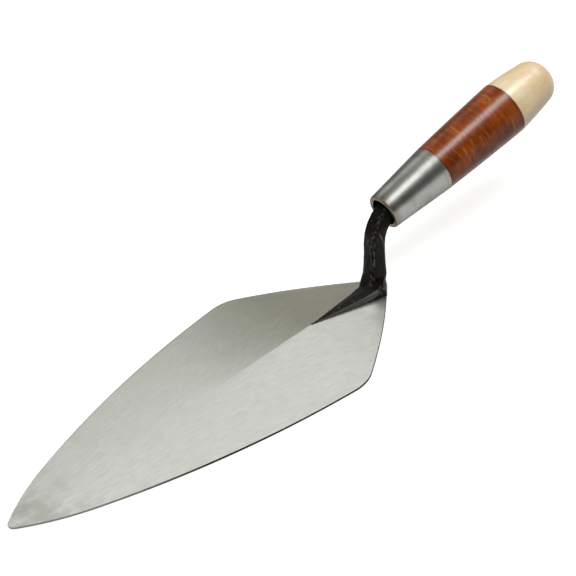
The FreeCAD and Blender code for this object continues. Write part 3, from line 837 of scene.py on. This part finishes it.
def shank_bend():
    """Start and end of the bend that joins the lower shank's line to the handle's axis."""
    up = Vector((math.cos(SHANK_LEAN), 0.0, math.sin(SHANK_LEAN)))
    slope = math.tan(LIFT)
    rise = (RIM.z - slope * (RIM.x - SHANK_FOOT.x)) / (up.z - slope * up.x)
    knee = SHANK_FOOT + up * rise
    reach = BEND_RADIUS * math.tan((SHANK_LEAN - LIFT) / 2)
    return knee - up * reach, knee + ALONG * reach


def bend_point(share):
    """A point of the bend and its heading, share 0 at the bend's start and 1 at its end."""
    heading = SHANK_LEAN + share * (LIFT - SHANK_LEAN)
    along = math.sin(SHANK_LEAN) - math.sin(heading)
    rise = math.cos(heading) - math.cos(SHANK_LEAN)
    return shank_bend()[0] + Vector((along, 0.0, rise)) * BEND_RADIUS, heading


print("bend from", [round(c / MM, 1) for c in shank_bend()[0]],
      "to", [round(c / MM, 1) for c in shank_bend()[1]])

# %% [markdown]
# ## Shank and tang
# The shank is a bar of rounded square section that swells at its root and goes on inside the
# handle as a tapering tang. Every ring is a circle pushed out to a rounded square, and the higher
# its squareness, the sharper its corners. The rings stand square to the line, and the same bridge
# joins them.

# %% Shank and tang
NECK = 10.6
RING_STEPS = 40
END_SQUARE, SHANK_SQUARE, TANG_SQUARE = 4.5, 4.2, 6.0
# inside the foot: centre, heading and width, in millimetres
ROOT_RINGS = [((-9.4, 0.2, 0.6), UPRIGHT, 11.0), ((-8.4, 0.2, 3.0), UPRIGHT - 0.1, 12.8),
              ((-6.6, 0.4, 5.4), SHANK_LEAN, 12.3)]
# up the straight part: share of its length and width in millimetres
SHANK_RINGS = [(0.34, 11.9), (0.55, 11.1), (0.78, NECK), (1.0, NECK)]
BEND_SHARES = (0.2, 0.4, 0.6, 0.8)
BEND_END_WIDTH = 9.6
# along the handle: station and width in millimetres
TANG_RINGS = [(12.0, 8.4), (105.0, 4.6)]


def square_ring(shape, place, heading, width, squareness):
    """A circle pushed out to a rounded square, set square to a line that rises at heading."""
    verts = bmesh.ops.create_circle(shape, segments=RING_STEPS, radius=1.0)["verts"]
    for vert in verts:
        size = (abs(vert.co.x) ** squareness + abs(vert.co.y) ** squareness) ** (-1 / squareness)
        vert.co = Vector((vert.co.x, vert.co.y, 0.0)) * (size * (width * MM) / 2)
    stand = Matrix.Rotation(UPRIGHT - heading, 4, "Y")
    bmesh.ops.transform(shape, matrix=Matrix.Translation(place) @ stand, verts=verts)
    # a dictionary drops the doubles and, unlike a set, keeps the order the same in every run
    return list(dict.fromkeys(edge for vert in verts for edge in vert.link_edges))


def shank_places():
    """(centre, heading, width, squareness) of every ring from the root to the end of the tang."""
    start, end = shank_bend()
    places = [(Vector(centre) * MM, heading, width, END_SQUARE) for centre, heading, width in ROOT_RINGS]
    for share, width in SHANK_RINGS:
        places.append((SHANK_FOOT + (start - SHANK_FOOT) * share, SHANK_LEAN, width, SHANK_SQUARE))
    places += [(*bend_point(share), NECK, SHANK_SQUARE) for share in BEND_SHARES]
    places.append((end, LIFT, BEND_END_WIDTH, END_SQUARE))
    places += [(on_handle(station * MM), LIFT, width, TANG_SQUARE) for station, width in TANG_RINGS]
    return places


bridge_rings(forging_core, [square_ring(forging_core, *place) for place in shank_places()])
bmesh.ops.recalc_face_normals(forging_core, faces=forging_core.faces[:])
print("foot and shank:", len(forging_core.faces), "faces, open edges",
      sum(edge.is_boundary for edge in forging_core.edges))

# %% [markdown]
# ## One forging
# The foot and the shank cut through each other and have hard corners, and a forging has neither.
# A voxel remesh melts them into one skin, and a few rounds of smoothing turn the inside corners
# into the soft fillets that a hammer leaves. A modifier is baked by reading the object's evaluated
# mesh, and the helper object is removed.

# %% Melt foot and shank
VOXEL = 0.38 * MM
SMOOTH_ROUNDS, SMOOTH_SHARE = 2, 0.5


def mesh_object(shape, name):
    mesh = bpy.data.meshes.new(name)
    shape.to_mesh(mesh)
    shape.free()
    made = bpy.data.objects.new(name, mesh)
    bpy.context.scene.collection.objects.link(made)
    return made


def baked(holder):
    """The mesh of an object with its modifiers applied, as a bmesh; the object is removed."""
    bpy.context.view_layer.update()
    mesh = bpy.data.meshes.new_from_object(holder.evaluated_get(bpy.context.evaluated_depsgraph_get()))
    shape = bmesh.new()
    shape.from_mesh(mesh)
    bpy.data.objects.remove(holder)
    bpy.data.meshes.remove(mesh)
    return shape


def melt(shape):
    """One closed skin round everything in the shape, with rounded corners."""
    holder = mesh_object(shape, "melting")
    remesh = holder.modifiers.new("remesh", "REMESH")
    remesh.mode = "VOXEL"
    remesh.voxel_size = VOXEL
    skin = baked(holder)
    for _ in range(SMOOTH_ROUNDS):
        bmesh.ops.smooth_vert(skin, verts=skin.verts[:], factor=SMOOTH_SHARE,
                              use_axis_x=True, use_axis_y=True, use_axis_z=True)
    for face in skin.faces:
        face.material_index = SCALE_FACE
    return skin


core_skin = melt(forging_core)
print("foot and shank melted:", len(core_skin.faces), "faces")

# %% [markdown]
# ## Foot and shank on the blade
# The blade must keep its thin edges, so it isn't remeshed. An exact boolean joins the skin to it,
# which keeps the crisp line where the grinding stops: faces of the blade keep the ground steel,
# and faces of the foot the black scale. A union can leave slivers along the seam, which Dissolve
# Degenerate takes away.

# %% Join the forging
SLIVER = 0.005 * MM


def join_forging(blade_shape, core_shape):
    body = mesh_object(blade_shape, "body")
    core = mesh_object(core_shape, "core")
    for holder in (body, core):
        holder.data.materials.append(ground_steel)
        holder.data.materials.append(black_scale)
    union = body.modifiers.new("union", "BOOLEAN")
    union.operation = "UNION"
    union.solver = "EXACT"
    union.material_mode = "INDEX"
    union.object = core
    shape = baked(body)
    bpy.data.objects.remove(core)
    bmesh.ops.dissolve_degenerate(shape, edges=shape.edges[:], dist=SLIVER)
    return shape


forging = finish_piece(join_forging(blade, core_skin), "blade_shank_and_tang", "blade_and_tang",
                       [ground_steel, black_scale])
print(count(forging))

# %% [markdown]
# ## Turned pieces
# Everything on the handle was turned on a lathe, and Spin is the modeller's lathe: a profile of
# (station, radius) points goes round the axis once. The piece is spun about X first and then
# tilted and moved on to the handle. A rounded stretch of a profile is an arc between two points,
# and an edge that was only broken is a ring of edges, found by its place and bevelled.

# %% Lathe
TURN_STEPS = 128
POLE_GAP, RING_GAP = 0.001 * MM, 0.01 * MM
PLACE_ON_HANDLE = Matrix.Translation(RIM) @ Matrix.Rotation(-LIFT, 4, "Y")


def arc(start, end, radius, steps):
    """Points after start, up to end, on an arc whose centre is nearer the axis than both."""
    start, end = Vector(start), Vector(end)
    chord = end - start
    inwards = Vector((chord.y, -chord.x)).normalized()
    centre = (start + end) / 2 + inwards * math.sqrt(radius ** 2 - chord.length_squared / 4)
    first = math.atan2(start.y - centre.y, start.x - centre.x)
    last = math.atan2(end.y - centre.y, end.x - centre.x)
    turned = [first + (last - first) * step / steps for step in range(1, steps + 1)]
    return [(centre.x + radius * math.cos(angle), centre.y + radius * math.sin(angle)) for angle in turned]


def lathe(profile, closed):
    """Spin a profile of (station, radius) points, still lying along X."""
    shape = bmesh.new()
    verts = [shape.verts.new((station, 0.0, radius)) for station, radius in profile]
    edges = ring_of(shape, verts) if closed else [shape.edges.new(pair) for pair in zip(verts, verts[1:])]
    bmesh.ops.spin(shape, geom=verts + edges, cent=(0, 0, 0), axis=(1, 0, 0), angle=math.tau,
                   steps=TURN_STEPS, use_merge=True)
    bmesh.ops.remove_doubles(shape, verts=shape.verts[:], dist=POLE_GAP)
    bmesh.ops.recalc_face_normals(shape, faces=shape.faces[:])
    return shape


def round_ring(shape, station, radius, offset, segments):
    """Bevel the ring of edges that lies at a station and a radius, and give its number of edges."""
    def is_there(vert):
        from_axis = math.hypot(vert.co.y, vert.co.z)
        return abs(vert.co.x - station) < RING_GAP and abs(from_axis - radius) < RING_GAP
    ring = [edge for edge in shape.edges if all(is_there(vert) for vert in edge.verts)]
    bmesh.ops.bevel(shape, geom=ring, offset=offset, offset_type="OFFSET", segments=segments,
                    profile=0.5, affect="EDGES", material=-1)
    return len(ring)


def put_on_handle(shape):
    bmesh.ops.transform(shape, matrix=PLACE_ON_HANDLE, verts=shape.verts[:])
    return shape


print("lathe turns in", TURN_STEPS, "steps")

# %% [markdown]
# ## Ferrule
# A tapered steel cap whose front is rolled inwards, so the shank goes through a round mouth with a
# soft lip. The profile follows the sheet outside and inside, a real wall's thickness apart. The
# mouth's inner edge gets a wide bevel of several segments and the rear edge a slim one, so that
# both catch light. Inside, the black scale stands for painted shade in the hollow.

# %% Ferrule
MOUTH, LIP, FRONT = 8.69 * MM, 9.99 * MM, 11.49 * MM
LIP_ROUND, LIP_STEPS = 1.5 * MM, 8
FERRULE_REAR, WALL = 15.0 * MM, 1.2 * MM
MOUTH_BEVEL, MOUTH_SEGMENTS = 0.9 * MM, 5
REAR_BEVEL, REAR_SEGMENTS = 0.18 * MM, 2
POLISHED_FACE, SHADED_INSIDE_FACE = 0, 1


def ferrule_profile():
    profile = [(0.0, MOUTH), (0.0, LIP)]
    # the roll of the lip is a quarter circle that bulges away from the axis
    for step in range(1, LIP_STEPS + 1):
        angle = math.pi / 2 * step / LIP_STEPS
        profile.append((LIP_ROUND * (1 - math.cos(angle)), LIP + LIP_ROUND * math.sin(angle)))
    return profile + [(FERRULE_END, FERRULE_REAR), (FERRULE_END, FERRULE_REAR - WALL),
                      (WALL, FRONT - WALL), (WALL, MOUTH)]


def is_inside_ferrule(face):
    """Whether a face lies behind the mouth's rim and below the middle of the wall."""
    middle = face.calc_center_median()
    mid_wall = FRONT + (FERRULE_REAR - FRONT) * middle.x / FERRULE_END - 0.5 * WALL
    return middle.x > 0.8 * WALL and math.hypot(middle.y, middle.z) < mid_wall


def make_ferrule():
    shape = lathe(ferrule_profile(), closed=True)
    rounded = round_ring(shape, 0.0, MOUTH, MOUTH_BEVEL, MOUTH_SEGMENTS)
    rounded += round_ring(shape, FERRULE_END, FERRULE_REAR, REAR_BEVEL, REAR_SEGMENTS)
    # faces inside the cap get the black scale as a painted shade
    for face in shape.faces:
        face.material_index = SHADED_INSIDE_FACE if is_inside_ferrule(face) else POLISHED_FACE
    print("ferrule: bevelled", rounded, "edges")
    return put_on_handle(shape)


ferrule = finish_piece(make_ferrule(), "steel_ferrule", "ferrule",
                       [satin_steel, black_scale])
print(count(ferrule))

# %% [markdown]
# ## Leather washers
# The washers are threaded on the wooden spindle and turned as one. They stay separate pieces, made
# by one loop, and the frame says how many there are. Each outer edge is broken by a twentieth of a
# millimetre, which leaves the fine line between neighbours that shows where one slice ends. The
# limit for sharp edges is lower here: smooth shading across the broken edge would make each washer
# look like a bead.

# %% Washers
LEATHER_REAR, CROWN = 17.4 * MM, 0.2 * MM
SPINDLE, BORE_GAP = 8.0 * MM, 0.15 * MM
WASHER_EDGE, WASHER_SEGMENTS = 0.05 * MM, 2
WASHER_SHARP = math.radians(12.0)


def leather_radius(station):
    """A straight taper with a slight crown in the middle of the grip."""
    share = (station - FERRULE_END) / (LEATHER_END - FERRULE_END)
    return FERRULE_REAR + (LEATHER_REAR - FERRULE_REAR) * share + 4 * CROWN * share * (1 - share)


def make_washer(number):
    front = FERRULE_END + WASHER * (number - 1)
    rear = front + WASHER
    bore = SPINDLE + BORE_GAP
    shape = lathe([(front, bore), (front, leather_radius(front)), (rear, leather_radius(rear)),
                   (rear, bore)], closed=True)
    for station in (front, rear):
        round_ring(shape, station, leather_radius(station), WASHER_EDGE, WASHER_SEGMENTS)
    return put_on_handle(shape)


washers = [finish_piece(make_washer(number), f"washer_{number:02d}", f"leather_washer_{number:02d}",
                        [russet_leather], WASHER_SHARP)
           for number in range(1, WASHERS + 1)]
print(len(washers), "washers, the last is", count(washers[-1]))

# %% [markdown]
# ## Wooden butt and core
# One piece of wood carries the whole handle: a cone inside the ferrule, a spindle through the
# leather and the butt with its dome. It is bored for the tang. The butt's front edge has a slim
# chamfer beside the leather, and the dome is a tight arc that runs into a nearly flat cap.

# %% Butt
DOME_START, DOME_RADIUS, DOME_CORNER = BUTT_END - 11.6 * MM, 14.6 * MM, 12.0 * MM
CAP_RADIUS, CAP_RISE = 9.0 * MM, 2.1 * MM
CORE_FRONT, HOLE_END = 10.0 * MM, 106.5 * MM
HOLE_FRONT_RADIUS, HOLE_END_RADIUS = 5.6 * MM, 3.1 * MM
CHAMFER, CHAMFER_RISE = 0.45 * MM, 0.06 * MM
SIDE_PARTS, DOME_PARTS, CAP_PARTS = 12, 16, 10
# how the fall of the side to the dome divides into a straight part and a curved one
STRAIGHT_FALL, CURVED_FALL = 0.55, 0.45


def ferrule_bore(station):
    return FRONT - WALL + (FERRULE_REAR - FRONT) * (station - WALL) / (FERRULE_END - WALL)


def core_profile():
    """The tang's hole, the cone in the ferrule and the spindle, up to the butt's front edge."""
    return [(HOLE_END, 0.0), (HOLE_END, HOLE_END_RADIUS), (CORE_FRONT, HOLE_FRONT_RADIUS),
            (CORE_FRONT, ferrule_bore(CORE_FRONT)), (FERRULE_END, ferrule_bore(FERRULE_END)),
            (FERRULE_END, SPINDLE), (LEATHER_END, SPINDLE), (LEATHER_END, LEATHER_REAR - CHAMFER),
            (LEATHER_END + CHAMFER, LEATHER_REAR - CHAMFER_RISE)]


def side_profile():
    """A gentle curve that leaves the leather in line and falls in to the dome."""
    points = []
    for step in range(1, SIDE_PARTS + 1):
        share = step / SIDE_PARTS
        fall = STRAIGHT_FALL * share + CURVED_FALL * share * share
        points.append((LEATHER_END + CHAMFER + (DOME_START - LEATHER_END - CHAMFER) * share,
                       LEATHER_REAR - (LEATHER_REAR - DOME_RADIUS) * fall))
    return points


def make_butt():
    cap_sphere = (CAP_RADIUS ** 2 + CAP_RISE ** 2) / (2 * CAP_RISE)
    dome_end = (BUTT_END - CAP_RISE, CAP_RADIUS)
    profile = core_profile() + side_profile()
    profile += arc(profile[-1], dome_end, DOME_CORNER, DOME_PARTS)
    profile += arc(dome_end, (BUTT_END, 0.0), cap_sphere, CAP_PARTS)
    return put_on_handle(lathe(profile, closed=False))


butt = finish_piece(make_butt(), "wooden_butt", "butt_and_core", [pale_wood])
print(count(butt))

# %% [markdown]
# ## Floor
# The floor is a plain sheet just under the blade. It has to look white round the tool, yet a white
# sheet in full light throws so much light upwards that the tool's undersides go flat. The floor
# therefore glows a little by itself, and a Light Path node takes the glow away from light that
# bounces softly: what looks at the floor or mirrors it sees the glow, and the undersides don't.

# %% Floor
FLOOR_HALF, FLOOR_DROP = 4.0, 0.2 * MM
FLOOR_WHITE, FLOOR_ROUGHNESS = (0.82, 0.82, 0.82, 1.0), 0.9
SEEN_GLOW, BOUNCED_GLOW = (0.55, 0.55, 0.55, 1.0), (0.03, 0.03, 0.03, 1.0)

floor_mesh = bpy.data.meshes.new("floor")
ground = bmesh.new()
bmesh.ops.create_grid(ground, x_segments=2, y_segments=2, size=FLOOR_HALF)
ground.to_mesh(floor_mesh)
ground.free()
floor = bpy.data.objects.new("floor", floor_mesh)
floor.location.z = -FLOOR_DROP
bpy.context.scene.collection.objects.link(floor)


def make_pale_floor():
    material, tree, shader, _ = new_material("pale_floor")
    shader.inputs["Base Color"].default_value = FLOOR_WHITE
    shader.inputs["Roughness"].default_value = FLOOR_ROUGHNESS
    shader.inputs["Specular IOR Level"].default_value = 0.0
    bounced = tree.nodes.new("ShaderNodeLightPath").outputs["Is Diffuse Ray"]
    tree.links.new(blend_colours(tree, bounced, SEEN_GLOW, BOUNCED_GLOW), shader.inputs["Emission Color"])
    shader.inputs["Emission Strength"].default_value = 1.0
    return material


floor_mesh.materials.append(make_pale_floor())
print("floor", len(floor_mesh.polygons), "faces")

# %% [markdown]
# ## Two lamps
# A long soft box hangs over the handle, a little on the camera's side, and draws the bright line
# along ferrule and butt. Lacquered leather mirrors much less than steel, so a narrow strip in the
# same direction adds to the line on the leather and the wood. Light linking keeps it off the
# steel, as a screen does in a studio.

# %% Lamps
HANDLE_MIDDLE = Vector((20.0, 0.0, 40.0)) * MM
OVER_HANDLE = Vector((0.18, -0.38, 0.92)).normalized()


def add_panel(name, distance, size, power, colour):
    """A rectangular lamp over the handle that faces it; size is along X and across."""
    data = bpy.data.lights.new(name, "AREA")
    data.shape = "RECTANGLE"
    data.size, data.size_y = size
    data.energy = power
    data.color = colour
    lamp = bpy.data.objects.new(name, data)
    facing = OVER_HANDLE.to_track_quat("Z", "Y").to_matrix().to_4x4()
    lamp.matrix_world = Matrix.Translation(HANDLE_MIDDLE + OVER_HANDLE * distance) @ facing
    bpy.context.scene.collection.objects.link(lamp)
    return lamp


soft_box = add_panel("soft_box", 1.3, (1.4, 0.52), 8.6, (1.0, 1.0, 0.99))
strip = add_panel("strip", 0.9, (0.8, 0.25), 12.5, (1.0, 0.99, 0.97))
lit_by_strip = bpy.data.collections.new("lit_by_strip")
for piece in [butt] + washers:
    lit_by_strip.objects.link(piece)
strip.light_linking.receiver_collection = lit_by_strip

# %% [markdown]
# ## Surrounding sky
# Polished steel is mostly a picture of the room, so the rest of the light is a sky in soft steps.
# The far side is dim near the horizon and bright in a band that begins a third of the way up. The
# blade's two halves are tilted a little apart, so one mirrors the band and the other the dim sky
# below it, and that, with a painted shade on the left half, is what parts them into a light half
# and a dark one. The near side is dim all over, and a black card in it draws the dark band on the
# ferrule.

# %% Sky
FAR_LOW, FAR_BAND = (0.355, 0.345, 0.285, 1.0), (1.50, 1.52, 1.50, 1.0)
NEAR_LOW, NEAR_HIGH = (0.245, 0.24, 0.225, 1.0), (0.38, 0.38, 0.38, 1.0)
BLACK_CARD = (0.045, 0.040, 0.036, 1.0)
# all places in the sky are parts of the direction's unit vector, given as the ends of a smooth step
BAND_BEGINS, BAND_ENDS = (0.50, 0.585), (0.86, 0.72)
NEAR_RISE, NEAR_TO_FAR = (0.60, 0.85), (-0.25, 0.25)
CARD_MIDDLE, CARD_SIDE, CARD_TOP = 0.29, (0.34, 0.20), (0.80, 0.60)


def make_sky():
    world = bpy.data.worlds.new("studio")
    bpy.context.scene.world = world
    world.use_nodes = True
    tree = world.node_tree
    tree.nodes.clear()
    way = split(tree, tree.nodes.new("ShaderNodeTexCoord").outputs["Generated"])
    band = times(tree, ease(tree, way["Z"], *BAND_BEGINS), ease(tree, way["Z"], *BAND_ENDS))
    far_side = blend_colours(tree, band, FAR_LOW, FAR_BAND)
    near_side = blend_colours(tree, ease(tree, way["Z"], *NEAR_RISE), NEAR_LOW, NEAR_HIGH)
    sideways = maths(tree, "ABSOLUTE", maths(tree, "SUBTRACT", way["X"], CARD_MIDDLE))
    card = times(tree, ease(tree, sideways, *CARD_SIDE), ease(tree, way["Z"], *CARD_TOP))
    near_side = blend_colours(tree, card, near_side, BLACK_CARD)
    sky = blend_colours(tree, ease(tree, way["Y"], *NEAR_TO_FAR), near_side, far_side)
    glow = add(tree, "ShaderNodeBackground", {"Color": sky, "Strength": 1.0})
    output = tree.nodes.new("ShaderNodeOutputWorld")
    tree.links.new(glow.outputs["Background"], output.inputs["Surface"])
    return world


sky = make_sky()
bpy.context.scene.view_settings.view_transform = "Standard"
bpy.context.scene.view_settings.look = "None"
print("sky:", len(sky.node_tree.nodes), "nodes")
